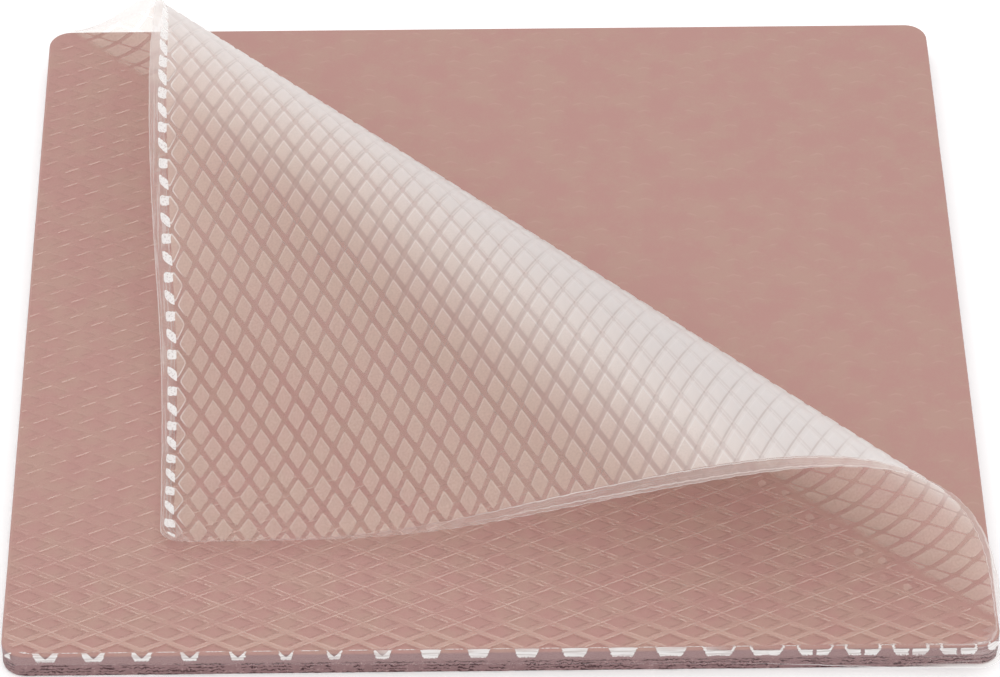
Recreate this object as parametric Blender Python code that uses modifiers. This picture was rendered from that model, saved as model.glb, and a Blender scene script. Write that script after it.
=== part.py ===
"""A square thermal gap pad with its embossed release film peeled back from one corner.

The soft pad lies flat. The thin film that covers its top still clings to the front-left
half, and its back-right corner is lifted, rolled over and laid down towards the
front-left. Metres, +Z up, origin at the centre of the pad's bottom face.
"""

import math

import bmesh
import bpy
import numpy as np

# Driving sizes of the pad
PAD_SIDE = 0.100
PAD_THICKNESS = 0.003
PAD_CORNER_RADIUS = 0.0025
PAD_EDGE_RADIUS = 0.0003

# Driving sizes of the film, which was laid on the pad a little askew
FILM_OVERLAP = 0.00165
FILM_SIDE = PAD_SIDE + 2 * FILM_OVERLAP
FILM_CORNER_RADIUS = PAD_CORNER_RADIUS + 0.6 * FILM_OVERLAP
FILM_THICKNESS = 0.0003
FILM_SKEW = math.radians(-0.7)
CLEARANCE = 0.0003

# How far the film's rim bends down, where it clings to the pad's sides and where it is free
CLINGING_BEND = math.radians(88)
ROLLED_RIM_BEND = math.radians(2)
LANDED_RIM_BEND = math.radians(44)
BACK_RIM_BENDS = (math.radians(38), math.radians(18))
RIM_SPAN = (0.025, 0.055)
RIM_RELEASE_FRONT = 0.013
RIM_RELEASE_BACK = 0.003

# The fold, as arc lengths along the film beyond the line where it leaves the pad
CREASE_NORMAL_ANGLE = math.radians(45.3)
PEEL_OFFSET = 0.0019
ROLL_TURN = math.radians(209.5)
ROLL_DECAY = 0.0125
ROLL_SHAPE = 1.254
LANDING_START = 0.0425
LANDING_END = 0.063

# Fineness
CORNER_SEGMENTS = 5
EDGE_SEGMENTS = 2
SECTION_STEPS = 3200
ROLL_CUT_TURN = math.radians(7)
LANDING_CUTS = 9
RELEASE_CUTS = 7

# Colours from the photograph, as linear values
PAD_COLOUR = (0.49, 0.28, 0.24, 1.0)
FILM_COLOUR = (0.61, 0.51, 0.46, 1.0)


def clear_scene():
    for obj in list(bpy.data.objects):
        bpy.data.objects.remove(obj)


def make_material(name, colour, roughness, alpha=1.0):
    material = bpy.data.materials.new(name)
    material.use_nodes = True
    shader = material.node_tree.nodes["Principled BSDF"]
    shader.inputs["Base Color"].default_value = colour
    shader.inputs["Roughness"].default_value = roughness
    shader.inputs["Metallic"].default_value = 0.0
    shader.inputs["Alpha"].default_value = alpha
    material.diffuse_color = (colour[0], colour[1], colour[2], alpha)
    return material


def make_pad(collection):
    """The soft slab: a flat block with rounded upright corners and slightly eased edges."""
    bpy.ops.mesh.primitive_cube_add(size=1, location=(0, 0, PAD_THICKNESS / 2))
    pad = bpy.context.object
    pad.name = "thermal_pad"
    pad.scale = (PAD_SIDE, PAD_SIDE, PAD_THICKNESS)
    bpy.ops.object.transform_apply(location=True, rotation=False, scale=True)
    mesh = bmesh.new()
    mesh.from_mesh(pad.data)
    upright = [e for e in mesh.edges if abs(e.verts[0].co.z - e.verts[1].co.z) > PAD_THICKNESS / 2]
    bmesh.ops.bevel(
        mesh,
        geom=upright,
        offset=PAD_CORNER_RADIUS,
        segments=CORNER_SEGMENTS,
        profile=0.5,
        affect="EDGES",
        clamp_overlap=True,
    )
    mesh.to_mesh(pad.data)
    mesh.free()
    ease = pad.modifiers.new("eased_edges", "BEVEL")
    ease.width = PAD_EDGE_RADIUS
    ease.segments = EDGE_SEGMENTS
    ease.limit_method = "ANGLE"
    ease.angle_limit = math.radians(60)
    pad.data.materials.append(make_material("pad_silicone", PAD_COLOUR, 0.6))
    move_to(collection, pad)
    return pad


def move_to(collection, obj):
    for other in list(obj.users_collection):
        other.objects.unlink(obj)
    collection.objects.link(obj)


def core_reach():
    """Half the side of the film's bend line, which runs just outside the pad's edge."""
    return PAD_SIDE / 2 + CLEARANCE + FILM_THICKNESS / 2


def flat_film():
    """The film before it is folded: a rounded square inside a rim, marked off by an inset."""
    rim = FILM_SIDE / 2 - core_reach()
    mesh = bmesh.new()
    bmesh.ops.create_grid(mesh, x_segments=1, y_segments=1, size=FILM_SIDE / 2)
    bmesh.ops.bevel(
        mesh,
        geom=list(mesh.verts),
        offset=PAD_CORNER_RADIUS + FILM_SIDE / 2 - PAD_SIDE / 2,
        segments=CORNER_SEGMENTS,
        profile=0.5,
        affect="VERTICES",
        clamp_overlap=True,
    )
    bmesh.ops.inset_region(
        mesh, faces=list(mesh.faces), thickness=rim, use_even_offset=True, use_boundary=True
    )
    return mesh


def crease_axes():
    """Unit vectors in the film's plane, across the crease and along it."""
    across = np.array([math.cos(CREASE_NORMAL_ANGLE), math.sin(CREASE_NORMAL_ANGLE)])
    along = np.array([across[1], -across[0]])
    return across, along


def smooth_step(t):
    t = np.clip(t, 0, 1)
    return t * t * (3 - 2 * t)


def fold_profile():
    """The fold's section: arc length, distance across the crease, height and slope angle.

    The film curves most where it leaves the pad and relaxes along its length, so its angle
    nears ROLL_TURN as a stretched exponential. Where it comes down it eases to half a turn
    and lies flat. The section is the integral of that angle.
    """
    film_tip = FILM_SIDE / math.sqrt(2)
    arc = np.linspace(0, film_tip, SECTION_STEPS + 1)
    angle = ROLL_TURN * (1 - np.exp(-((arc / ROLL_DECAY) ** ROLL_SHAPE)))
    landed = smooth_step((arc - LANDING_START) / (LANDING_END - LANDING_START))
    angle = angle + (math.pi - angle) * landed
    step = arc[1] - arc[0]
    middle = (angle[1:] + angle[:-1]) / 2
    distance = np.concatenate([[0], np.cumsum(np.cos(middle)) * step])
    height = np.concatenate([[0], np.cumsum(np.sin(middle)) * step])
    # The flap comes to rest one clearance above the film that still lies on the pad.
    rest = FILM_THICKNESS + CLEARANCE
    lift = (rest - height[-1]) * smooth_step(arc / LANDING_END)
    return arc, distance, height + lift, angle


def ruling_distances():
    """Where the film is cut parallel to the crease: by equal turns in the roll, by equal
    lengths where it lands, and along the stretch where its rim lets go of the pad."""
    arc, _, _, angle = fold_profile()
    rolling = arc < LANDING_START
    turns = np.arange(0, angle[rolling][-1], ROLL_CUT_TURN)
    roll = np.interp(turns, angle[rolling], arc[rolling])
    landing = np.linspace(LANDING_START, LANDING_END, LANDING_CUTS)
    release = -RIM_RELEASE_FRONT * np.linspace(1, 0, RELEASE_CUTS, endpoint=False)
    return np.concatenate([release, roll, landing])


def cut_along_rulings(mesh):
    across, _ = crease_axes()
    for distance in ruling_distances():
        point = across * (PEEL_OFFSET + distance)
        bmesh.ops.bisect_plane(
            mesh,
            geom=list(mesh.verts) + list(mesh.edges) + list(mesh.faces),
            dist=1e-7,
            plane_co=(point[0], point[1], 0),
            plane_no=(across[0], across[1], 0),
        )


def nearest_on_core(points):
    """For each flat point, the nearest point inside the bend line and the way out of it."""
    radius = PAD_CORNER_RADIUS + core_reach() - PAD_SIDE / 2
    straight = core_reach() - radius
    offset = points - np.clip(points, -straight, straight)
    length = np.maximum(np.linalg.norm(offset, axis=1), 1e-12)
    outward = offset / length[:, None]
    beyond = np.maximum(length - radius, 0)
    return points - outward * beyond[:, None], outward, beyond


def rim_width(core):
    """How far the film's own outline, turned by FILM_SKEW, lies outside a point."""
    cosine, sine = math.cos(FILM_SKEW), math.sin(FILM_SKEW)
    turned = np.column_stack(
        [core[:, 0] * cosine + core[:, 1] * sine, core[:, 1] * cosine - core[:, 0] * sine]
    )
    past_corner = np.abs(turned) - (FILM_SIDE / 2 - FILM_CORNER_RADIUS)
    outside = np.linalg.norm(np.maximum(past_corner, 0), axis=1)
    inside = np.minimum(past_corner.max(axis=1), 0)
    return FILM_CORNER_RADIUS - outside - inside


def rim_bend(core, outward, past):
    """The angle by which the rim is bent down from the film's own plane."""
    _, along = crease_axes()
    front = smooth_step((core @ along) / PAD_SIDE + 0.5)
    release = RIM_RELEASE_BACK + (RIM_RELEASE_FRONT - RIM_RELEASE_BACK) * front
    freed = smooth_step(past / release + 1)
    landed = smooth_step((past - RIM_SPAN[0]) / (RIM_SPAN[1] - RIM_SPAN[0]))
    side = ROLLED_RIM_BEND + (LANDED_RIM_BEND - ROLLED_RIM_BEND) * landed
    back = BACK_RIM_BENDS[0] + (BACK_RIM_BENDS[1] - BACK_RIM_BENDS[0]) * landed
    free = side * outward[:, 0] ** 2 + back * outward[:, 1] ** 2
    return CLINGING_BEND + (free - CLINGING_BEND) * freed


def folded(points):
    """Flat film points carried to the folded film, with the rim bent down over the pad."""
    across, along = crease_axes()
    core, outward, beyond = nearest_on_core(points)
    arc, distance, height, angle = fold_profile()
    past = core @ across - PEEL_OFFSET
    lifted = past > 0
    moved = np.where(lifted, np.interp(past, arc, distance), past)
    rise = np.where(lifted, np.interp(past, arc, height), 0)
    turn = np.where(lifted, np.interp(past, arc, angle), 0)
    base = np.empty((len(points), 3))
    base[:, :2] = np.outer(moved + PEEL_OFFSET, across) + np.outer(core @ along, along)
    base[:, 2] = PAD_THICKNESS + CLEARANCE + FILM_THICKNESS / 2 + rise
    across_3 = np.append(across, 0)
    along_3 = np.append(along, 0)
    up_3 = np.array([0, 0, 1])
    tangent = np.outer(np.cos(turn), across_3) + np.outer(np.sin(turn), up_3)
    normal = np.outer(-np.sin(turn), across_3) + np.outer(np.cos(turn), up_3)
    out_3 = (outward @ across)[:, None] * tangent + np.outer(outward @ along, along_3)
    bend = rim_bend(core, outward, past)
    rim = out_3 * np.cos(bend)[:, None] - normal * np.sin(bend)[:, None]
    width = beyond / (FILM_SIDE / 2 - core_reach()) * rim_width(core)
    return base + rim * width[:, None]


def make_film(collection):
    """The release film: one thin sheet, partly lying on the pad and partly folded over."""
    mesh = flat_film()
    cut_along_rulings(mesh)
    flat = np.array([v.co[:2] for v in mesh.verts])
    for vertex, place in zip(mesh.verts, folded(flat)):
        vertex.co = place
    bmesh.ops.triangulate(mesh, faces=list(mesh.faces), quad_method="BEAUTY", ngon_method="BEAUTY")
    data = bpy.data.meshes.new("release_film")
    mesh.to_mesh(data)
    mesh.free()
    film = bpy.data.objects.new("release_film", data)
    collection.objects.link(film)
    thick = film.modifiers.new("film_thickness", "SOLIDIFY")
    thick.thickness = FILM_THICKNESS
    thick.offset = 0
    thick.use_even_offset = True
    data.materials.append(make_material("film_polyethylene", FILM_COLOUR, 0.35, alpha=0.6))
    data.shade_smooth()
    data.set_sharp_from_angle(angle=math.radians(35))
    return film


def main():
    clear_scene()
    collection = bpy.data.collections.new("thermal_pad_sheet")
    bpy.context.scene.collection.children.link(collection)
    make_pad(collection)
    make_film(collection)


main()
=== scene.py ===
"""A square of soft pink thermal pad, its embossed release film peeled over from one corner.

Metres, +Z up, origin at the centre of the pad's bottom face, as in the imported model.
"""

import math

import bmesh
import bpy
import numpy as np
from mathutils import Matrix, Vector


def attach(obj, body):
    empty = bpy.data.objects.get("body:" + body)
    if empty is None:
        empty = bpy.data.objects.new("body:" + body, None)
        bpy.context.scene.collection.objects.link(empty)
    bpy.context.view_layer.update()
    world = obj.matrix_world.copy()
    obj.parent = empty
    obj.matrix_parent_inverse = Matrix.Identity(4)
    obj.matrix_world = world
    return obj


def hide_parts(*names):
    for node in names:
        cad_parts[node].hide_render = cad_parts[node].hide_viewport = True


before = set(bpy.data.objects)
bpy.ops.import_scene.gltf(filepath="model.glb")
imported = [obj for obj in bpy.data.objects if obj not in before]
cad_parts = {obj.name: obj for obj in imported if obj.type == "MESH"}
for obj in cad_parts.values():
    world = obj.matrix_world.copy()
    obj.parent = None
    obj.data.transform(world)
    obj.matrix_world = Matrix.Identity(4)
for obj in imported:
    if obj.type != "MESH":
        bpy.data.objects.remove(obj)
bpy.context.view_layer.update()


# Viewpoint, ground and light
#
# A product shot from in front and well above through a long lens, on a white
# table, under one wide soft light that stands behind and a little to the left.

CAMERA_PLACE = (-0.00542, -0.40877, 0.36631)
CAMERA_AZIMUTH = math.radians(0.846)
CAMERA_ELEVATION = math.radians(41.8546)
CAMERA_LENS_MM = 183.96
CAMERA_SENSOR_MM = 36.0
TABLE_HALF_WIDTH = 2.0
TABLE_WHITE = (0.97, 0.97, 0.97, 1.0)
TABLE_GLOW = 0.2
ROOM_WHITE = (1.0, 1.0, 1.0, 1.0)
ROOM_LIGHT = 1.02
KEY_LIGHT_PLACE = Vector((-0.45, 0.75, 0.95))
KEY_LIGHT_WIDTH = 0.9
KEY_LIGHT_WATTS = 1.2

camera_data = bpy.data.cameras.new("camera")
camera_data.lens = CAMERA_LENS_MM
camera_data.sensor_width = CAMERA_SENSOR_MM
camera_data.clip_start = 0.01
camera_data.clip_end = 10.0
camera = bpy.data.objects.new("camera", camera_data)
bpy.context.collection.objects.link(camera)
camera.location = CAMERA_PLACE
line_of_sight = Vector(
    (
        math.sin(CAMERA_AZIMUTH) * math.cos(CAMERA_ELEVATION),
        math.cos(CAMERA_AZIMUTH) * math.cos(CAMERA_ELEVATION),
        -math.sin(CAMERA_ELEVATION),
    )
)
camera.rotation_euler = line_of_sight.to_track_quat("-Z", "Y").to_euler()
bpy.context.scene.camera = camera

table_data = bpy.data.meshes.new("table_top")
table_corners = [(-1, -1, 0), (1, -1, 0), (1, 1, 0), (-1, 1, 0)]
table_data.from_pydata(
    [Vector(corner) * TABLE_HALF_WIDTH for corner in table_corners], [], [(0, 1, 2, 3)]
)
table_top = bpy.data.objects.new("table_top", table_data)
bpy.context.collection.objects.link(table_top)
table_paint = bpy.data.materials.new("white_table")
table_paint.use_nodes = True
table_shader = table_paint.node_tree.nodes["Principled BSDF"]
for socket, value in {
    "Base Color": TABLE_WHITE,
    "Roughness": 0.9,
    "Specular IOR Level": 0.1,
    "Emission Color": ROOM_WHITE,
    "Emission Strength": TABLE_GLOW,
}.items():
    table_shader.inputs[socket].default_value = value
table_data.materials.append(table_paint)

studio = bpy.data.worlds.new("studio")
studio.use_nodes = True
studio.node_tree.nodes["Background"].inputs["Color"].default_value = ROOM_WHITE
studio.node_tree.nodes["Background"].inputs["Strength"].default_value = ROOM_LIGHT
bpy.context.scene.world = studio

key_data = bpy.data.lights.new("soft_box", "AREA")
key_data.shape = "SQUARE"
key_data.size = KEY_LIGHT_WIDTH
key_data.energy = KEY_LIGHT_WATTS
soft_box = bpy.data.objects.new("soft_box", key_data)
bpy.context.collection.objects.link(soft_box)
soft_box.location = KEY_LIGHT_PLACE
soft_box.rotation_euler = (-KEY_LIGHT_PLACE).to_track_quat("-Z", "Y").to_euler()
bpy.context.scene.view_settings.view_transform = "Standard"


# Thermal pad
#
# One slab of soft, pink, powder-filled silicone, cut square from a sheet with a
# knife, so its top is smooth and its cut sides tear and crumble below.

PAD_SIDE = 0.100
PAD_THICKNESS = 0.003
PAD_CORNER_RADIUS = 0.0025
PAD_EDGE_RADIUS = 0.0003
PAD_CORNER_CENTRE = PAD_SIDE / 2 - PAD_CORNER_RADIUS
SIDE_COLUMNS = 600
EDGE_ROWS = 4
SIDE_ROWS = 16

NOISE_TABLE = 32
CRUMB_STRETCH = (0.6, 0.6, 3.2)
CRUMB_CELLS = (0.0011, 0.0005)
CRUMB_DEPTH = 0.00006
CRACK_SHARPNESS = 3.2
CRACK_DEPTH = 0.00013
TORN_BELOW_SHARE = 0.62
TORN_FADE_SHARE = 0.25
WAVE_CELL = 0.004
WAVE_DEPTH = 0.00003
SIDE_FADE = 0.0002
EDGE_FADE_SHARE = 0.08


def rounded_square(square):
    """Carries points of a square to a round-cornered one.

    Past a corner's centre, a point's larger offset becomes its distance from that centre.
    """
    past = square - np.clip(square, -PAD_CORNER_CENTRE, PAD_CORNER_CENTRE)
    larger = np.abs(past).max(axis=-1, keepdims=True)
    length = np.maximum(np.linalg.norm(past, axis=-1, keepdims=True), 1e-12)
    return square - past + past * larger / length


def soft_noise(places, cell, seed):
    """A smooth field from -1 to 1: random values on a lattice of that cell, blended between."""
    table = np.random.default_rng(seed).uniform(-1, 1, (NOISE_TABLE,) * 3)
    scaled = places / cell
    low = np.floor(scaled).astype(int)
    part = scaled - low
    part = part * part * (3 - 2 * part)
    total = np.zeros(places.shape[:-1])
    for corner in np.ndindex(2, 2, 2):
        weight = np.prod(np.where(corner, part, 1 - part), axis=-1)
        index = (low + corner) % NOISE_TABLE
        total += weight * table[index[..., 0], index[..., 1], index[..., 2]]
    return total


def pad_section():
    """The pad's edge from its top face to its bottom one, as half width and height.

    A quarter circle, an upright line and another quarter circle.
    """
    turn = np.linspace(0, math.pi / 2, EDGE_ROWS + 1)
    inner = PAD_SIDE / 2 - PAD_EDGE_RADIUS
    upper = np.column_stack(
        [
            inner + PAD_EDGE_RADIUS * np.sin(turn),
            PAD_THICKNESS - PAD_EDGE_RADIUS * (1 - np.cos(turn)),
        ]
    )
    lower = upper[::-1] * (1, -1) + (0, PAD_THICKNESS)
    share = np.linspace(0, 1, SIDE_ROWS + 1)[1:-1, None]
    upright = upper[-1] * (1 - share) + lower[0] * share
    return np.concatenate([upper, upright, lower])


def pad_mesh():
    """Rings round the section's points, strips between them, and a flat face on either end."""
    along = np.linspace(-1, 1, SIDE_COLUMNS + 1)[:-1]
    edge = np.full(SIDE_COLUMNS, 1.0)
    around = np.concatenate(
        [
            np.column_stack([along, -edge]),
            np.column_stack([edge, along]),
            np.column_stack([-along, edge]),
            np.column_stack([-edge, -along]),
        ]
    )
    section = pad_section()
    rings = [
        np.column_stack([rounded_square(around * half), height * edge.repeat(4)])
        for half, height in section
    ]
    rows, columns = len(section), len(around)
    index = np.arange(rows * columns).reshape(rows, columns)
    ahead = np.roll(index, -1, axis=1)
    strips = np.stack([index[1:], ahead[1:], ahead[:-1], index[:-1]], axis=-1).reshape(-1, 4)
    return np.concatenate(rings), strips.tolist(), [index[0].tolist(), index[-1, ::-1].tolist()]


def roughen_sides(points):
    """Side points moved inwards: a slight wave everywhere, and crumbs and level cracks in the
    lower half, where the knife tore the sheet instead of cutting it.

    A crack is where the crumbs' noise passes through zero. All of it fades at the pad's edges.
    """
    height = points[:, 2] / PAD_THICKNESS
    stretched = points * CRUMB_STRETCH
    crumble = soft_noise(stretched, CRUMB_CELLS[0], 3) + 0.6 * soft_noise(
        stretched, CRUMB_CELLS[1], 4
    )
    cracks = np.clip(1 - np.abs(crumble) * CRACK_SHARPNESS, 0, 1)
    lower = np.clip((TORN_BELOW_SHARE - height) / TORN_FADE_SHARE, 0, 1)
    wave = 0.5 + 0.5 * soft_noise(points, WAVE_CELL, 5)
    inward = (CRACK_DEPTH * cracks + CRUMB_DEPTH * (1 + crumble)) * lower + WAVE_DEPTH * wave
    from_edge = PAD_SIDE / 2 - np.abs(points[:, :2]).max(axis=1)
    sides = np.clip((PAD_EDGE_RADIUS - from_edge) / SIDE_FADE, 0, 1)
    edge = np.clip(np.minimum(height, 1 - height) / EDGE_FADE_SHARE, 0, 1)
    out = points[:, :2] - np.clip(points[:, :2], -PAD_CORNER_CENTRE, PAD_CORNER_CENTRE)
    out /= np.maximum(np.linalg.norm(out, axis=1, keepdims=True), 1e-9)
    moved = points.copy()
    moved[:, :2] -= out * (inward * sides * edge)[:, None]
    return moved


class Flow:
    """A shader socket. Python's operators on it add Math nodes to its material."""

    def __init__(self, tree, socket):
        self.tree = tree
        self.socket = socket

    def node(self, kind, settings=None, inputs=None, output=0):
        """Adds a node of that kind. Its settings come first, then its sockets' values or links."""
        made = self.tree.nodes.new(kind)
        for name, value in (settings or {}).items():
            setattr(made, name, value)
        for name, value in (inputs or {}).items():
            value = float(value) if isinstance(value, (int, np.floating)) else value
            if isinstance(value, Flow):
                self.tree.links.new(value.socket, made.inputs[name])
            else:
                made.inputs[name].default_value = value
        return Flow(self.tree, made.outputs[output])

    def math(self, operation, *values):
        return self.node("ShaderNodeMath", {"operation": operation}, dict(enumerate(values)))

    def __add__(self, other):
        return self.math("ADD", self, other)

    def __radd__(self, other):
        return self.math("ADD", other, self)

    def __sub__(self, other):
        return self.math("SUBTRACT", self, other)

    def __rsub__(self, other):
        return self.math("SUBTRACT", other, self)

    def __mul__(self, other):
        return self.math("MULTIPLY", self, other)

    def __rmul__(self, other):
        return self.math("MULTIPLY", other, self)

    def __truediv__(self, other):
        return self.math("DIVIDE", self, other)

    def __pow__(self, other):
        return self.math("POWER", self, other)

    def __abs__(self):
        return self.math("ABSOLUTE", self)

    def least(self, other):
        return self.math("MINIMUM", self, other)

    def most(self, other):
        return self.math("MAXIMUM", self, other)

    def rise(self, low, high):
        """0 up to low, 1 from high, and a smooth step between."""
        return self.node(
            "ShaderNodeMapRange",
            {"interpolation_type": "SMOOTHSTEP"},
            {"Value": self, "From Min": low, "From Max": high},
        )

    def fract(self):
        return self.math("FRACT", self)

    def part(self, index):
        """A vector's x, y or z."""
        return self.node("ShaderNodeSeparateXYZ", inputs={0: self}, output=index)

    def band(self, middle, half):
        """1 at the middle value, falling smoothly to 0 at half on either side."""
        return 1 - abs(self - middle).rise(half * 0.3, half)

    def noise(self, place, scale, detail=2.0, roughness=0.5):
        return self.node(
            "ShaderNodeTexNoise",
            {"noise_dimensions": "3D"},
            {"Vector": place, "Scale": scale, "Detail": detail, "Roughness": roughness},
        )

    def blend_number(self, first, second):
        """A number from first, where this value is 0, to second, where it is 1."""
        return first + (second - first) * self

    def blend(self, first, second):
        """A colour from first, where this value is 0, to second, where it is 1."""
        return self.node(
            "ShaderNodeMix", {"data_type": "RGBA"}, {0: self, 6: first, 7: second}, output=2
        )


def start_material(name):
    """A new material, a Flow that adds nodes to it, and its shader node."""
    material = bpy.data.materials.new(name)
    material.use_nodes = True
    tree = material.node_tree
    shader = tree.nodes["Principled BSDF"]
    return material, Flow(tree, None), shader


def drive(shader, name, flow):
    flow.tree.links.new(flow.socket, shader.inputs[name])


# The emboss of the film that lay on the pad left its print, so its lattice is set here: bars
# run where either of two counts, u and v, is whole. Each grows by so much per millimetre.
BAR_COUNT_PER_MM = np.array([[0.20389, -0.39930], [-0.21311, -0.38536]])
BAR_COUNT_START = np.array([-0.4548, 0.2968])
BAR_SPACING_MM = 1 / np.linalg.norm(BAR_COUNT_PER_MM, axis=1)
BAR_BLEND_MM = 0.45


def from_bars(flow, u, v):
    """Millimetres from the middle of the nearest bar of each set, signed, and the distance to
    the nearer of the two, rounded off where they cross."""
    side_u = ((u + 0.5).fract() - 0.5) * BAR_SPACING_MM[0]
    side_v = ((v + 0.5).fract() - 0.5) * BAR_SPACING_MM[1]
    return side_u, side_v, flow.math("SMOOTH_MIN", abs(side_u), abs(side_v), BAR_BLEND_MM)


PAD_PINK = (0.460, 0.249, 0.222, 1.0)
PAD_TAN = (0.460, 0.275, 0.231, 1.0)
PAD_SIDE_MAUVE = (0.305, 0.190, 0.190, 1.0)
PAD_SIDE_LOW = (0.265, 0.155, 0.158, 1.0)
PAD_CRUMB_HIGHLIGHT = (0.390, 0.260, 0.255, 1.0)
PAD_CRACK_SHADE = (0.060, 0.022, 0.026, 1.0)
IMPRINT_HIGHLIGHT = (0.640, 0.430, 0.370, 1.0)
CLOUDS_PER_METRE = 260.0
SPECKS_PER_METRE = 3600.0
CRUMBS_PER_METRE = 2600.0
RIPPLES_PER_METRE = 1500.0
TORN_PATCHES_PER_METRE = 500.0
PAD_ROUGHNESS = 0.55


def pad_material():
    """Filled silicone: pink with tan clouds and a fine grain. The film's cells left faint
    arcs on its top, their paleness a painted highlight on the imprint, and its sides are greyer,
    crumbly and cracked below, with painted highlights on the crumbs and painted shade in the
    cracks."""
    material, flow, shader = start_material("pad_silicone")
    place = flow.node("ShaderNodeTexCoord", output=3)
    x, y, z = [place.part(k) * 1000 for k in range(3)]

    # Top: clouds and grain, and a faint pale arc round the far side of each cell's imprint, a
    # painted highlight on its rim.
    clouds = flow.noise(place, CLOUDS_PER_METRE, 2.0, 0.6)
    speckle = flow.noise(place, SPECKS_PER_METRE, 1.0, 0.7)
    tone = (clouds - 0.5) * 1.6 + (speckle - 0.5) * 0.7 + 0.5
    colour = tone.rise(0.2, 0.8).blend(PAD_PINK, PAD_TAN)
    (ku_x, ku_y), (kv_x, kv_y) = BAR_COUNT_PER_MM
    u = x * ku_x + y * ku_y + BAR_COUNT_START[0]
    v = x * kv_x + y * kv_y + BAR_COUNT_START[1]
    side_u, side_v, near = from_bars(flow, u, v)
    arc = near.band(0.30, 0.16) * side_u.rise(0.0, 0.1) * side_v.rise(0.0, 0.1)
    arc = arc * (1 - (side_u + side_v).rise(0.9, 1.7)) * clouds.rise(0.42, 0.56)
    arc = arc * z.rise(2.9, 2.99)
    colour = (arc * 0.14).blend(colour, IMPRINT_HIGHLIGHT)

    # Sides: mauve, crumbly in the lower half, with painted highlights on the crumbs, and dark
    # cracks in patches along level lines that a noise makes jagged, their dark a painted shade.
    side = 1 - z.rise(2.65, 2.95)
    crumbs = flow.noise(place, CRUMBS_PER_METRE, 2.0, 0.7)
    low = side * (1 - z.rise(1.6, 1.9))
    side_colour = low.blend(PAD_SIDE_MAUVE, PAD_SIDE_LOW)
    side_colour = (low * crumbs.rise(0.55, 0.72)).blend(side_colour, PAD_CRUMB_HIGHLIGHT)
    colour = side.blend(colour, side_colour)
    ripple = flow.noise(place, RIPPLES_PER_METRE, 3.0, 0.7)
    patches = flow.noise(place, TORN_PATCHES_PER_METRE, 2.0, 0.6)
    tear = (z * 2.2 + ripple * 2.4).fract()
    crack_shade = tear.band(0.5, 0.24) * low * patches.rise(0.42, 0.50)
    colour = crack_shade.blend(colour, PAD_CRACK_SHADE)
    drive(shader, "Base Color", colour)
    shader.inputs["Roughness"].default_value = PAD_ROUGHNESS
    shader.inputs["Specular IOR Level"].default_value = 0.35
    relief = speckle * 0.02 + crumbs * side * 0.15
    bump = flow.node(
        "ShaderNodeBump", inputs={"Strength": 0.6, "Distance": 0.001, "Height": relief}
    )
    drive(shader, "Normal", bump)
    return material


pad_points, pad_strips, pad_ends = pad_mesh()
pad_points = roughen_sides(pad_points)
pad_data = bpy.data.meshes.new("silicone_pad")
pad_data.from_pydata(pad_points.tolist(), [], pad_strips + pad_ends)
pad_data.shade_smooth()
for end in pad_data.polygons[len(pad_strips):]:
    end.use_smooth = False
silicone_pad = bpy.data.objects.new("silicone_pad", pad_data)
bpy.context.collection.objects.link(silicone_pad)
pad_data.materials.append(pad_material())
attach(silicone_pad, "root")
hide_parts("thermal_pad")


# Release film
#
# A sheet of thin polyethylene, embossed with a diamond grid of bars, laid on the
# pad a little askew. Its back-right corner is peeled, rolled over and laid down.

FILM_SIDE = 0.1033
FILM_CORNER_RADIUS = 0.0035
FILM_CORNER_CENTRE = FILM_SIDE / 2 - FILM_CORNER_RADIUS
FILM_SKEW = math.radians(-0.7)
SKEW_TURN = np.array(
    [
        [math.cos(FILM_SKEW), -math.sin(FILM_SKEW)],
        [math.sin(FILM_SKEW), math.cos(FILM_SKEW)],
    ]
)
FILM_LIFT = 0.00012
EMBOSS = 0.00007
BAR_TOP_MM = 0.24
BAR_FOOT_MM = 0.42
RIM_RADIUS = 0.00045
BEND_LINE = PAD_SIDE / 2 - PAD_EDGE_RADIUS
RIM_CUTS = (0.0, 0.0001, 0.0002, 0.0003, 0.0004, 0.0005, 0.0006, 0.0007, 0.001)
RIM_MARGIN = 0.0002
CORNER_STEPS = 12

CLINGING_BEND = math.radians(88)
ROLLED_RIM_BEND = math.radians(2)
LANDED_RIM_BEND = math.radians(44)
BACK_RIM_BENDS = (math.radians(38), math.radians(18))
RIM_SPAN = (0.025, 0.055)
RIM_RELEASE_FRONT = 0.021
RIM_RELEASE_BACK = 0.003
LOOSE_RIM_LIFT = math.radians(50)
LOOSE_RIM_END = 0.012

CREASE_NORMAL_ANGLE = math.radians(45.3)
PEEL_OFFSET = 0.0019
ROLL_TURN = math.radians(209.5)
ROLL_DECAY = 0.0125
ROLL_SHAPE = 1.254
LANDING_START = 0.0425
LANDING_END = 0.063
FLAP_REST = 0.00035
FREE_FACES_START = -0.0006
FOLD_SAMPLES = 3201

STRETCH_START = -0.002
STRETCH_END = 0.020
STRETCH_ACROSS = 0.00076
STRETCH_ALONG = 0.0009
STRETCH_TURN = 0.014
STRETCH_ROUNDS = 4
LATTICE_REACH = FILM_SIDE / 2 * 1.03

ACROSS = np.array([math.cos(CREASE_NORMAL_ANGLE), math.sin(CREASE_NORMAL_ANGLE)])
ALONG = np.array([ACROSS[1], -ACROSS[0]])


def smooth_step(t):
    t = np.clip(t, 0, 1)
    return t * t * (3 - 2 * t)


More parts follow.
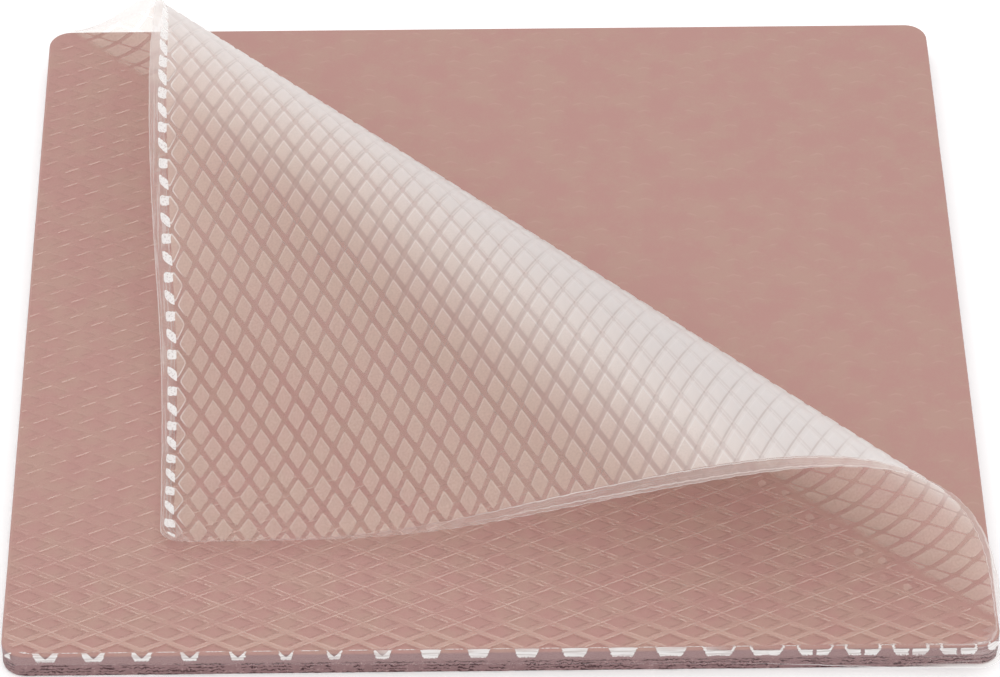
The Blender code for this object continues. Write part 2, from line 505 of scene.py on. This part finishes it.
def fold_section():
    """The fold's section: arc length, distance across the crease, height and slope angle.

    The angle nears ROLL_TURN as a stretched exponential of the arc length, then eases to half
    a turn where the flap comes down. Distance and height are its cosine and sine, summed.
    """
    arc = np.linspace(0, FILM_SIDE / math.sqrt(2), FOLD_SAMPLES)
    angle = ROLL_TURN * (1 - np.exp(-((arc / ROLL_DECAY) ** ROLL_SHAPE)))
    landed = smooth_step((arc - LANDING_START) / (LANDING_END - LANDING_START))
    angle = angle + (math.pi - angle) * landed
    step = arc[1] - arc[0]
    middle = (angle[1:] + angle[:-1]) / 2
    distance = np.concatenate([[0], np.cumsum(np.cos(middle)) * step])
    height = np.concatenate([[0], np.cumsum(np.sin(middle)) * step])
    height += (FLAP_REST - height[-1]) * smooth_step(arc / LANDING_END)
    return arc, distance, height, angle


def past_bend_line(flat):
    """For each flat point, the nearest point inside the bend line, the way out and how far."""
    radius = PAD_CORNER_RADIUS - PAD_EDGE_RADIUS
    straight = BEND_LINE - radius
    offset = flat - np.clip(flat, -straight, straight)
    length = np.maximum(np.linalg.norm(offset, axis=1), 1e-12)
    outward = offset / length[:, None]
    beyond = np.maximum(length - radius, 0)
    return flat - outward * beyond[:, None], outward, beyond


def inside_outline(flat):
    """How far a flat point lies inside the film's own round-cornered outline.

    The corner radius, less the distance past the corners' centres, or plus that short of them.
    """
    past = np.abs(flat @ SKEW_TURN) - FILM_CORNER_CENTRE
    outside = np.linalg.norm(np.maximum(past, 0), axis=1)
    inside = np.minimum(past.max(axis=1), 0)
    return FILM_CORNER_RADIUS - outside - inside


def rim_bend(core, outward, past):
    """The angle by which the rim is bent down from the film's own plane: it clings to the
    pad's side, lets go near the crease and takes a softer bend on the flap."""
    front = smooth_step((core @ ALONG) / PAD_SIDE + 0.5)
    release = RIM_RELEASE_BACK + (RIM_RELEASE_FRONT - RIM_RELEASE_BACK) * front
    freed = smooth_step(past / release + 1)
    landed = smooth_step((past - RIM_SPAN[0]) / (RIM_SPAN[1] - RIM_SPAN[0]))
    side = ROLLED_RIM_BEND + (LANDED_RIM_BEND - ROLLED_RIM_BEND) * landed
    side = side - LOOSE_RIM_LIFT * (1 - smooth_step(past / LOOSE_RIM_END)) * front
    back = BACK_RIM_BENDS[0] + (BACK_RIM_BENDS[1] - BACK_RIM_BENDS[0]) * landed
    free = side * outward[:, 0] ** 2 + back * outward[:, 1] ** 2
    return CLINGING_BEND + (free - CLINGING_BEND) * freed


def stretch(even):
    """How far peeling has stretched the film at a point of the even lattice: nothing where it
    still clings, and up to a millimetre, with a slight turn, on the flap."""
    past = even @ ACROSS - PEEL_OFFSET
    aside = even @ ALONG
    share = smooth_step((past - STRETCH_START) / (STRETCH_END - STRETCH_START))
    pull = (STRETCH_TURN * aside - STRETCH_ACROSS) * share
    slip = (STRETCH_ALONG - STRETCH_TURN * past) * share
    return np.outer(pull, ACROSS) + np.outer(slip, ALONG)


def bars_reached(flat):
    """The two bar counts at flat points: whole numbers on the bars' centre lines.

    Each point's place on the even lattice is found by taking its stretch off a few times.
    """
    even = flat
    for _ in range(STRETCH_ROUNDS):
        even = flat - stretch(even)
    return even * 1000 @ BAR_COUNT_PER_MM.T + BAR_COUNT_START


def emboss_height(flat):
    """1 on the bars and 0 in the cells, with a smooth step down each bar's flank."""
    count = bars_reached(flat)
    off = (np.abs(count - np.round(count)) * BAR_SPACING_MM).min(axis=1)
    return 1 - smooth_step((off - BAR_TOP_MM) / (BAR_FOOT_MM - BAR_TOP_MM))


def carried(flat):
    """Flat film points carried to their places on the folded, embossed film.

    Inside the bend line a point moves along the fold's section. Outside it, the rim follows
    a small arc and then a straight run. The emboss then moves it along the film's normal.
    """
    core, outward, beyond = past_bend_line(flat)
    arc, distance, height, angle = fold_section()
    past = core @ ACROSS - PEEL_OFFSET
    lifted = past > 0
    moved = np.where(lifted, np.interp(past, arc, distance), past)
    rise = np.where(lifted, np.interp(past, arc, height), 0)
    turn = np.where(lifted, np.interp(past, arc, angle), 0)
    base = np.empty((len(flat), 3))
    base[:, :2] = np.outer(moved + PEEL_OFFSET, ACROSS) + np.outer(core @ ALONG, ALONG)
    base[:, 2] = PAD_THICKNESS + FILM_LIFT + rise
    across_3 = np.append(ACROSS, 0)
    along_3 = np.append(ALONG, 0)
    up_3 = np.array([0, 0, 1])
    tangent = np.outer(np.cos(turn), across_3) + np.outer(np.sin(turn), up_3)
    normal = np.outer(-np.sin(turn), across_3) + np.outer(np.cos(turn), up_3)
    out_3 = (outward @ ACROSS)[:, None] * tangent + np.outer(outward @ ALONG, along_3)
    bend = rim_bend(core, outward, past)
    tilt = np.minimum(beyond / RIM_RADIUS, bend)
    run = np.maximum(beyond - RIM_RADIUS * bend, 0)
    outwards = RIM_RADIUS * np.sin(tilt) + run * np.cos(bend)
    down = RIM_RADIUS * (1 - np.cos(tilt)) + run * np.sin(bend)
    place = base + out_3 * outwards[:, None] - normal * down[:, None]
    facing = normal * np.cos(tilt)[:, None] + out_3 * np.sin(tilt)[:, None]
    return place + facing * (EMBOSS * emboss_height(flat))[:, None], past


def flat_film():
    """The flat film as a lattice of quads that follows the bars, cut to the film's outline.

    Grid lines run along the bars' edges, their feet and the middle of the cells. Round the
    rim the quads are also cut along lines beside the edge, so that it can bend.
    """
    edge = BAR_TOP_MM / BAR_SPACING_MM.mean()
    foot = BAR_FOOT_MM / BAR_SPACING_MM.mean()
    steps = np.array([-edge, edge, foot, 0.5, 1 - foot])
    corners = np.array([[-1, -1], [1, -1], [1, 1], [-1, 1]]) * LATTICE_REACH
    ends = bars_reached(corners)
    low, high = np.floor(ends.min(axis=0)), np.ceil(ends.max(axis=0))
    lines = [(np.arange(a, b)[:, None] + steps).ravel() for a, b in zip(low, high)]
    counts = np.stack(np.meshgrid(*lines, indexing="ij"), axis=-1)
    even = (counts - BAR_COUNT_START) @ np.linalg.inv(BAR_COUNT_PER_MM).T / 1000
    rows, columns = even.shape[:2]
    index = np.arange(rows * columns).reshape(rows, columns)
    even = even.reshape(-1, 2)
    flat = even + stretch(even)
    quads = np.stack(
        [index[:-1, :-1], index[1:, :-1], index[1:, 1:], index[:-1, 1:]], axis=-1
    ).reshape(-1, 4)
    quads = quads[inside_outline(flat)[quads].max(axis=1) > 0]
    near_rim = np.abs(flat[quads]).max(axis=(1, 2)) > BEND_LINE - RIM_MARGIN
    return flat, quads[~near_rim], quads[near_rim]


def loose_mesh(flat, faces):
    """A bmesh of the faces' own vertices only."""
    used, index = np.unique(faces, return_inverse=True)
    data = bpy.data.meshes.new("part_of_film")
    data.from_pydata(
        np.column_stack([flat[used], np.zeros(len(used))]).tolist(),
        [],
        index.reshape(faces.shape).tolist(),
    )
    mesh = bmesh.new()
    mesh.from_mesh(data)
    bpy.data.meshes.remove(data)
    return mesh


def cut(mesh, point, way, drop_outer=False):
    """Cuts a flat mesh along the line through a point and square to a way, and drops what lies
    past the line if asked."""
    bmesh.ops.bisect_plane(
        mesh,
        geom=list(mesh.verts) + list(mesh.edges) + list(mesh.faces),
        dist=1e-8,
        plane_co=(point[0], point[1], 0),
        plane_no=(way[0], way[1], 0),
        clear_outer=drop_outer,
    )


def cut_rim(mesh):
    """Cuts the rim along lines beside the bend line, then to the skewed, round-cornered outline:
    its four straight sides and the tangents of each corner's quarter circle."""
    for side in range(4):
        way = np.array([(1, 0), (0, 1), (-1, 0), (0, -1)][side])
        corner = np.array([(1, 1), (-1, 1), (-1, -1), (1, -1)][side])
        for out in RIM_CUTS:
            cut(mesh, way * (BEND_LINE + out), way)
        cut(mesh, SKEW_TURN @ way * FILM_SIDE / 2, SKEW_TURN @ way, drop_outer=True)
        centre = SKEW_TURN @ corner * FILM_CORNER_CENTRE
        for step in range(1, CORNER_STEPS):
            turn = math.radians(90 * side + 90 * step / CORNER_STEPS)
            way = SKEW_TURN @ np.array([math.cos(turn), math.sin(turn)])
            cut(mesh, centre + way * FILM_CORNER_RADIUS, way, drop_outer=True)


flat, inner_quads, rim_quads = flat_film()
rim_mesh = loose_mesh(flat, rim_quads)
cut_rim(rim_mesh)
inner_mesh = loose_mesh(flat, inner_quads)
film_data = bpy.data.meshes.new("peeled_film")
rim_mesh.to_mesh(film_data)
inner_mesh.from_mesh(film_data)
bmesh.ops.remove_doubles(inner_mesh, verts=list(inner_mesh.verts), dist=1e-7)
bmesh.ops.recalc_face_normals(inner_mesh, faces=list(inner_mesh.faces))
inner_mesh.to_mesh(film_data)
inner_mesh.free()
rim_mesh.free()

flat_places = np.empty(len(film_data.vertices) * 3)
film_data.vertices.foreach_get("co", flat_places)
flat_places = flat_places.reshape(-1, 3)[:, :2]
film_places, past_crease = carried(flat_places)
film_data.vertices.foreach_set("co", film_places.ravel())
loop_vertex = np.empty(len(film_data.loops), int)
film_data.loops.foreach_get("vertex_index", loop_vertex)
_, _, beyond_bend = past_bend_line(flat_places)
for name, pair in (
    ("bar_count", bars_reached(flat_places)),
    ("crease_and_edge", np.column_stack([past_crease, inside_outline(flat_places)]) * 1000),
    ("flat_place", flat_places * 1000),
):
    layer = film_data.uv_layers.new(name=name)
    layer.data.foreach_set("uv", pair[loop_vertex].ravel())
bend_layer = film_data.attributes.new("beyond_bend", "FLOAT", "POINT")
bend_layer.data.foreach_set("value", beyond_bend * 1000)
film_data.update()
film_data.shade_smooth()

HELD_BAR = (0.80, 0.56, 0.47, 1.0)
HELD_GLINT = (0.95, 0.74, 0.64, 1.0)
HELD_SHADE = (0.30, 0.15, 0.13, 1.0)
CELL_MILK = (0.90, 0.745, 0.635, 1.0)
BAR_CLEAR = (0.76, 0.62, 0.56, 1.0)
ROLL_BACKLIT_WHITE = (0.87, 0.87, 0.865, 1.0)
ROLL_BACKLIT_BAR = (0.86, 0.85, 0.84, 1.0)
ROLL_SHADE = (0.48, 0.43, 0.41, 1.0)
RIM_VEIL = (0.80, 0.70, 0.66, 1.0)
RIM_HIGHLIGHT = (0.96, 0.96, 0.95, 1.0)
LIGHT_THROUGH = (0.92, 0.88, 0.86, 1.0)
DIAMOND_LENGTH_MM = 4.79
CELL_EDGE_MM = (0.15, 0.33)
RIM_START_MM = (49.4, 49.6)
BLISTER_PLACE = 0.59
BLISTER_HALF_MM = (0.46, 0.60)
PATCHES_PER_MM = 0.45
GRAINS_PER_MM = 4.0
RIM_GRITS_PER_MM = 5.0
FILM_ROUGHNESS = 0.32


def film_values(flow, *names):
    """The film's own coordinates, by name, from its UV maps and its point attribute.

    u, v: bar counts. past: mm past the crease. depth: mm in from the cut edge. x, y: mm on the
    flat film, and place: the same two as a vector. beyond: mm outside the bend line.
    """
    values = {}
    for uv_map, parts in (
        ("bar_count", ("u", "v")),
        ("crease_and_edge", ("past", "depth")),
        ("flat_place", ("x", "y", "place")),
    ):
        if set(parts) & set(names):
            held = flow.node("ShaderNodeUVMap", {"uv_map": uv_map})
            values.update(zip(parts, (held.part(0), held.part(1), held)))
    if "beyond" in names:
        values["beyond"] = flow.node(
            "ShaderNodeAttribute", {"attribute_name": "beyond_bend"}, output=2
        )
    return [values[name] for name in names]


def milky_sheet(flow, shader, colour, alpha, through):
    """Clear film with that much milk in it, which lets a share of the light on through."""
    drive(shader, "Base Color", colour)
    shader.inputs["Roughness"].default_value = FILM_ROUGHNESS
    passed = flow.node("ShaderNodeBsdfTranslucent", inputs={"Color": LIGHT_THROUGH})
    milk = flow.node(
        "ShaderNodeMixShader",
        inputs={0: through, 1: Flow(flow.tree, shader.outputs[0]), 2: passed},
    )
    clear = flow.node("ShaderNodeBsdfTransparent")
    sheet = flow.node("ShaderNodeMixShader", inputs={0: alpha.least(1.0), 1: clear, 2: milk})
    output = flow.tree.nodes["Material Output"]
    flow.tree.links.new(sheet.socket, output.inputs["Surface"])


def held_film():
    """Film that clings. Its cells wet the pad and are clear, so only the bars show: ribbons,
    palest at the front, with a painted highlight line round each cell's top and a painted
    shade line on its right."""
    material, flow, shader = start_material("film_clinging")
    u, v, x, y, place = film_values(flow, "u", "v", "x", "y", "place")
    side_u, side_v, near = from_bars(flow, u, v)
    patchy = flow.noise(place, PATCHES_PER_MM, 2.0)
    front = 1 - (y - x * 0.2 + patchy * 6).rise(-34.0, -12.0)
    first_rows = 1 - (y + patchy * 2).rise(-47.5, -44.0)
    u_nearer = (abs(side_v) - abs(side_u)).rise(-0.15, 0.15)

    # Pale ribbons on the bars, and beside them thin lines of painted highlight and of painted
    # shade.
    v_ribbon = 1 - abs(side_v - 0.08).rise(0.20, 0.36)
    u_ribbon = 1 - abs(side_u - 0.02).rise(0.20, 0.36)
    ribbon = v_ribbon.most(u_ribbon * (0.35 + first_rows * 0.65))
    dashed = 1 - abs(v.fract() - 0.5).rise(0.26 + front * 0.2, 0.34 + front * 0.2)
    along_u = side_u.band(0.20, 0.11) * dashed
    beside_u = side_u.band(-0.24, 0.10) * dashed * front * 0.5
    round_top = near.band(0.30, 0.10) * (1 - u_nearer) * side_v.rise(0.0, 0.1)
    round_top = round_top * (1 - side_u.rise(0.4, 1.3)) * (0.2 + front * 0.7)
    along_v = side_v.band(-0.14, 0.11) * front * 0.85
    line = along_u.most(beside_u).most(round_top).most(along_v)
    line = line * (0.30 + patchy.rise(0.34, 0.60) * 0.70)
    shade = side_u.band(-0.50, 0.15) * u_nearer.most(0.3)
    shade = shade.most(side_v.band(0.52, 0.16) * (1 - u_nearer))

    # All of it is fainter where the flap covers it.
    covered = x.rise(-34.0, -32.0) * (y - x * 0.17).rise(-22.0, -19.0)
    shown = 1 - covered * 0.8
    # The ribbons' extra paleness toward the front and in the first rows is painted highlight.
    pale = ribbon * (0.02 + front * 0.065 + first_rows * 0.32) * shown
    line_alpha = line * (0.42 + first_rows * 0.06) * shown
    shade_alpha = shade * (0.11 + front * 0.09) * (1 - line) * shown

    # Round blisters, two in every third row of cells near the roll. Their counts from the
    # blister's middle become millimetres by the inverse of the counts' growth.
    cell_u, cell_v = flow.math("FLOOR", u), flow.math("FLOOR", v)
    blistered = (cell_u - cell_v * 3.0 - 3.5).band(0.0, 2.0) * (cell_v - 5.5).band(0.0, 5.0)
    blistered = blistered.rise(0.2, 0.4) * (1 - cell_u.rise(24.2, 24.8))
    off_u, off_v = u - cell_u - BLISTER_PLACE, v - cell_v - BLISTER_PLACE
    off_x, off_y = [off_u * a + off_v * b for a, b in np.linalg.inv(BAR_COUNT_PER_MM)]
    half_x, half_y = BLISTER_HALF_MM
    blister = 1 - ((off_x / half_x) ** 2 + (off_y / half_y) ** 2).rise(0.7, 1.2)
    blister = blister * blistered
    # Painted highlight lines and the blisters take the pale colour, painted shade the dark one.
    colour = line.most(blister).blend(HELD_BAR, HELD_GLINT)
    colour = (shade * (1 - ribbon)).blend(colour, HELD_SHADE)
    alpha = pale.most(line_alpha).most(shade_alpha).most(blister * 0.25)
    milky_sheet(flow, shader, colour, alpha, 0.2)
    return material


def free_film():
    """Peeled film: milky cells, nearly clear bars, and white where it stands high in the roll,
    seen against the light: painted white for the light shining through from behind."""
    material, flow, shader = start_material("film_polyethylene")
    u, v, past, x, y, place = film_values(flow, "u", "v", "past", "x", "y", "place")
    side_u, side_v, _ = from_bars(flow, u, v)
    inside_roll = 1 - past.rise(7.0, 12.0)
    near = flow.math(
        "SMOOTH_MIN", abs(side_u), abs(side_v) - 0.03 + inside_roll * 0.2, BAR_BLEND_MM
    )

    # The roll widens to the right, so its zones lean that way.
    slanted = past - (x - y).most(-30.0) * 0.085
    standing = past.rise(5.0, 14.0) * (1 - slanted.rise(13.0, 35.0))
    high = past.rise(10.0, 15.0) * (1 - slanted.rise(17.0, 29.0))
    coming_down = past.rise(18.0, 27.0) * (1 - past.rise(36.0, 50.0))

    # Cells with a painted highlight on one flank and painted shade on the other, and painted
    # highlights round the cells at the cut back edge.
    grain = flow.noise(place, GRAINS_PER_MM, 1.0)
    cell = (near + high * 0.16).rise(*CELL_EDGE_MM)
    flank = (side_u.band(0.38, 0.09).most(side_v.band(-0.38, 0.09))) * cell.most(0.4)
    flank = flank * past.rise(12.0, 18.0) * (1 - past.rise(26.0, 44.0) * 0.5)
    back_edge_cell_highlight = near.band(0.24, 0.10) * y.rise(48.4, 49.1) * past.rise(16.0, 22.0)
    shaded = side_u.band(-0.30, 0.14).most(side_v.band(0.30, 0.12) * 0.5)
    shaded = shaded * past.rise(12.0, 20.0) * (1 - past.rise(24.0, 38.0))

    # Milkier in the cells and at grazing angles. Where the flap comes down the bars get more milk,
    # painted light that lifts the shade under the roll; in the roll the film is painted white for
    # the light shining through it from behind.
    grazing = flow.node("ShaderNodeLayerWeight", inputs={"Blend": 0.5}, output=1)
    u_bar = (1 - cell) * (abs(side_v) - abs(side_u)).rise(0.0, 0.3)
    alpha = cell * (0.22 + grain * 0.16) + u_bar * 0.045 + 0.07
    alpha = alpha + ((1 - cell) * 0.11 + 0.06) * coming_down
    alpha = alpha + flank * 0.10 + back_edge_cell_highlight * 0.35 + grazing**3 * 0.3
    alpha = (alpha + standing * 0.85) * past.rise(-0.4, 0.8)
    colour = cell.blend(BAR_CLEAR, CELL_MILK)
    colour = standing.blend(colour, cell.blend(ROLL_BACKLIT_BAR, ROLL_BACKLIT_WHITE))
    # Painted highlights on the flanks and round the back edge's cells, then painted shade.
    colour = (flank * 0.6).most(back_edge_cell_highlight * 0.8).blend(colour, RIM_HIGHLIGHT)
    colour = (shaded * 0.55).blend(colour, ROLL_SHADE)
    milky_sheet(flow, shader, colour, alpha, 0.30 + standing * 0.10)
    return material


def film_rim():
    """The film's rim, its white painted highlight: on air pockets between it and the pad's side,
    in blocks between the cut cells of the peeled back edge, and on long creases on the peeled
    right edge."""
    material, flow, shader = start_material("film_rim")
    u, v, past, depth, x, y, beyond, place = film_values(
        flow, "u", "v", "past", "depth", "x", "y", "beyond", "place"
    )
    free = past.rise(-0.3, 0.5)
    grit = flow.noise(place, RIM_GRITS_PER_MM, 1.0)
    drawn_out = flow.node(
        "ShaderNodeCombineXYZ", inputs={0: x * 0.2, 1: beyond * 6.0, 2: y * 0.2}
    )
    streak = flow.noise(drawn_out, 1.0, 2.0)
    ragged = (grit - 0.5) * 0.36

    # Millimetres along the front edge from the middle of a pocket, and of a gap between two.
    half_way = (((u - v) * 0.5).fract() - 0.5) * DIAMOND_LENGTH_MM
    whole_way = (((u - v) * 0.5 + 0.5).fract() - 0.5) * DIAMOND_LENGTH_MM

    # Front: a painted highlight on the air pocket under every second crossing, wider away from
    # the left middle.
    reach = ((abs(x + 20.0) * 0.0225 + 0.66) * (1.1 - beyond * 0.35)).least(1.85) + ragged
    pocket = 1 - (abs(half_way) - reach).rise(-0.04, 0.05)
    pocket = pocket * beyond.rise(0.08, 0.14) * (1 - (beyond + ragged).rise(1.02, 1.22))
    notch = (0.80 - beyond * 1.1 - abs(half_way)).rise(-0.05, 0.05) * (1 - x.rise(-16, -8))
    gap = (1 - (abs(half_way) - 0.18 - ragged).rise(-0.03, 0.05)) * x.rise(26, 30)
    bay = (reach - 0.26 - abs(half_way)).rise(-0.05, 0.1) * (1 - beyond.rise(0.42, 0.55))
    pocket = pocket * (1 - notch) * (1 - gap) * (1 - bay * x.rise(18, 24))
    at_front = (0 - y).rise(*RIM_START_MM)
    # Along the bend over the pad's edge, a broken line of painted highlight, strongest between the
    # pockets.
    lip = beyond.band(0.05, 0.08) * (0.25 + 0.75 * (1 - abs(whole_way).rise(0.7, 1.1)))
    clinging_highlight = pocket * (0.70 + streak.rise(0.35, 0.6) * 0.30) * 0.95
    clinging_highlight = clinging_highlight.most(lip * (0.35 + grit.rise(0.36, 0.54) * 0.45)) * at_front

    # Peeled back edge: painted highlights, a block and a slanting blob by turns, merged near the
    # roll.
    close = 1 - past.rise(16.0, 34.0)
    turns = u - v + 0.004
    slanting = (turns * 0.5).fract().rise(0.49, 0.51)
    wide = 0.66 + close * 0.42 + ragged * 0.8
    tooth_way = (turns.fract() - 0.5) * (DIAMOND_LENGTH_MM / 2) + slanting * (beyond - 0.5) * 0.9
    tooth = (tooth_way / wide) ** 4 + ((beyond - 0.45) / 0.55) ** 4
    tooth = 1 - (tooth + ragged).rise(0.7, 1.1)
    fold_marks = streak.rise(0.44, 0.62) * 0.45 * beyond.rise(0.05, 0.2)
    at_back = y.rise(*RIM_START_MM)
    back_rim_highlight = (tooth * (0.75 + grit.rise(0.36, 0.46) * 0.25)).most(fold_marks)
    back_rim_highlight = back_rim_highlight.most(close * beyond.rise(0.05, 0.3) * 0.6) * past.rise(5.0, 14.0) * at_back

    # Peeled right edge: painted highlights on creases that run along it, fading towards the
    # corner.
    crease = beyond.band(0.14, 0.12).most(beyond.band(1.45, 0.14) * 0.8)
    crease = crease.most(streak.rise(0.47, 0.60) * beyond.rise(0.2, 0.3) * 0.5)
    crease = crease * (1 - at_back) * (1 - y.rise(8.0, 26.0) * 0.7)

    # Loose lip at the front-right corner, where the film has let go of both sides, with painted
    # highlights along its cut edge and its bend.
    loose = (1 - abs(past - 1.0).rise(5.0, 11.0)) * (1 - at_back) * x.rise(30.0, 34.0)
    lip_edge = (1 - depth.rise(0.30, 0.60)).most(beyond.band(0.15, 0.15) * 0.6)
    loose = loose * (lip_edge * 0.75).most(streak.rise(0.45, 0.65) * 0.3)

    # A thin painted highlight along the cut, and a veil that is milkier over the flap's cells.
    cut_edge_highlight = 1 - depth.rise(0.05, 0.14)
    white = (back_rim_highlight.most(crease * 0.75) * free).most(clinging_highlight * (1 - free)).most(loose)
    edge = cut_edge_highlight * (free * 0.50 + (1 - free) * (0.10 + x.rise(22, 34) * 0.45))
    whiter = at_back.blend_number((1 - y.rise(-20.0, 15.0)) * 0.20, close * 0.32)
    _, _, near = from_bars(flow, u, v)
    cells = near.rise(*CELL_EDGE_MM) * y.rise(8.0, 24.0) * (1 - at_back) * 0.24
    veil = free * (0.06 + whiter + cells.most(beyond.rise(0.0, 0.4) * 0.14)) + (1 - free) * 0.04
    colour = white.most(cut_edge_highlight).blend(RIM_VEIL, RIM_HIGHLIGHT)
    milky_sheet(flow, shader, colour, veil.most(white * 0.95).most(edge), 0.2)
    return material


def film_zone():
    """For each face, by its corners' mean place: 0 where the film clings, 1 where it is
    peeled and 2 on the rim."""
    first = np.empty(len(film_data.polygons), int)
    film_data.polygons.foreach_get("loop_start", first)
    corners = np.diff(np.append(first, len(loop_vertex)))
    past = np.add.reduceat(past_crease[loop_vertex], first) / corners
    beyond = np.add.reduceat(beyond_bend[loop_vertex], first)
    return np.where(beyond > 0, 2, np.where(past > FREE_FACES_START, 1, 0))


peeled_film = bpy.data.objects.new("peeled_film", film_data)
bpy.context.collection.objects.link(peeled_film)
for film_finish in (held_film(), free_film(), film_rim()):
    film_data.materials.append(film_finish)
film_data.polygons.foreach_set("material_index", film_zone())
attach(peeled_film, "root")
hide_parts("release_film")
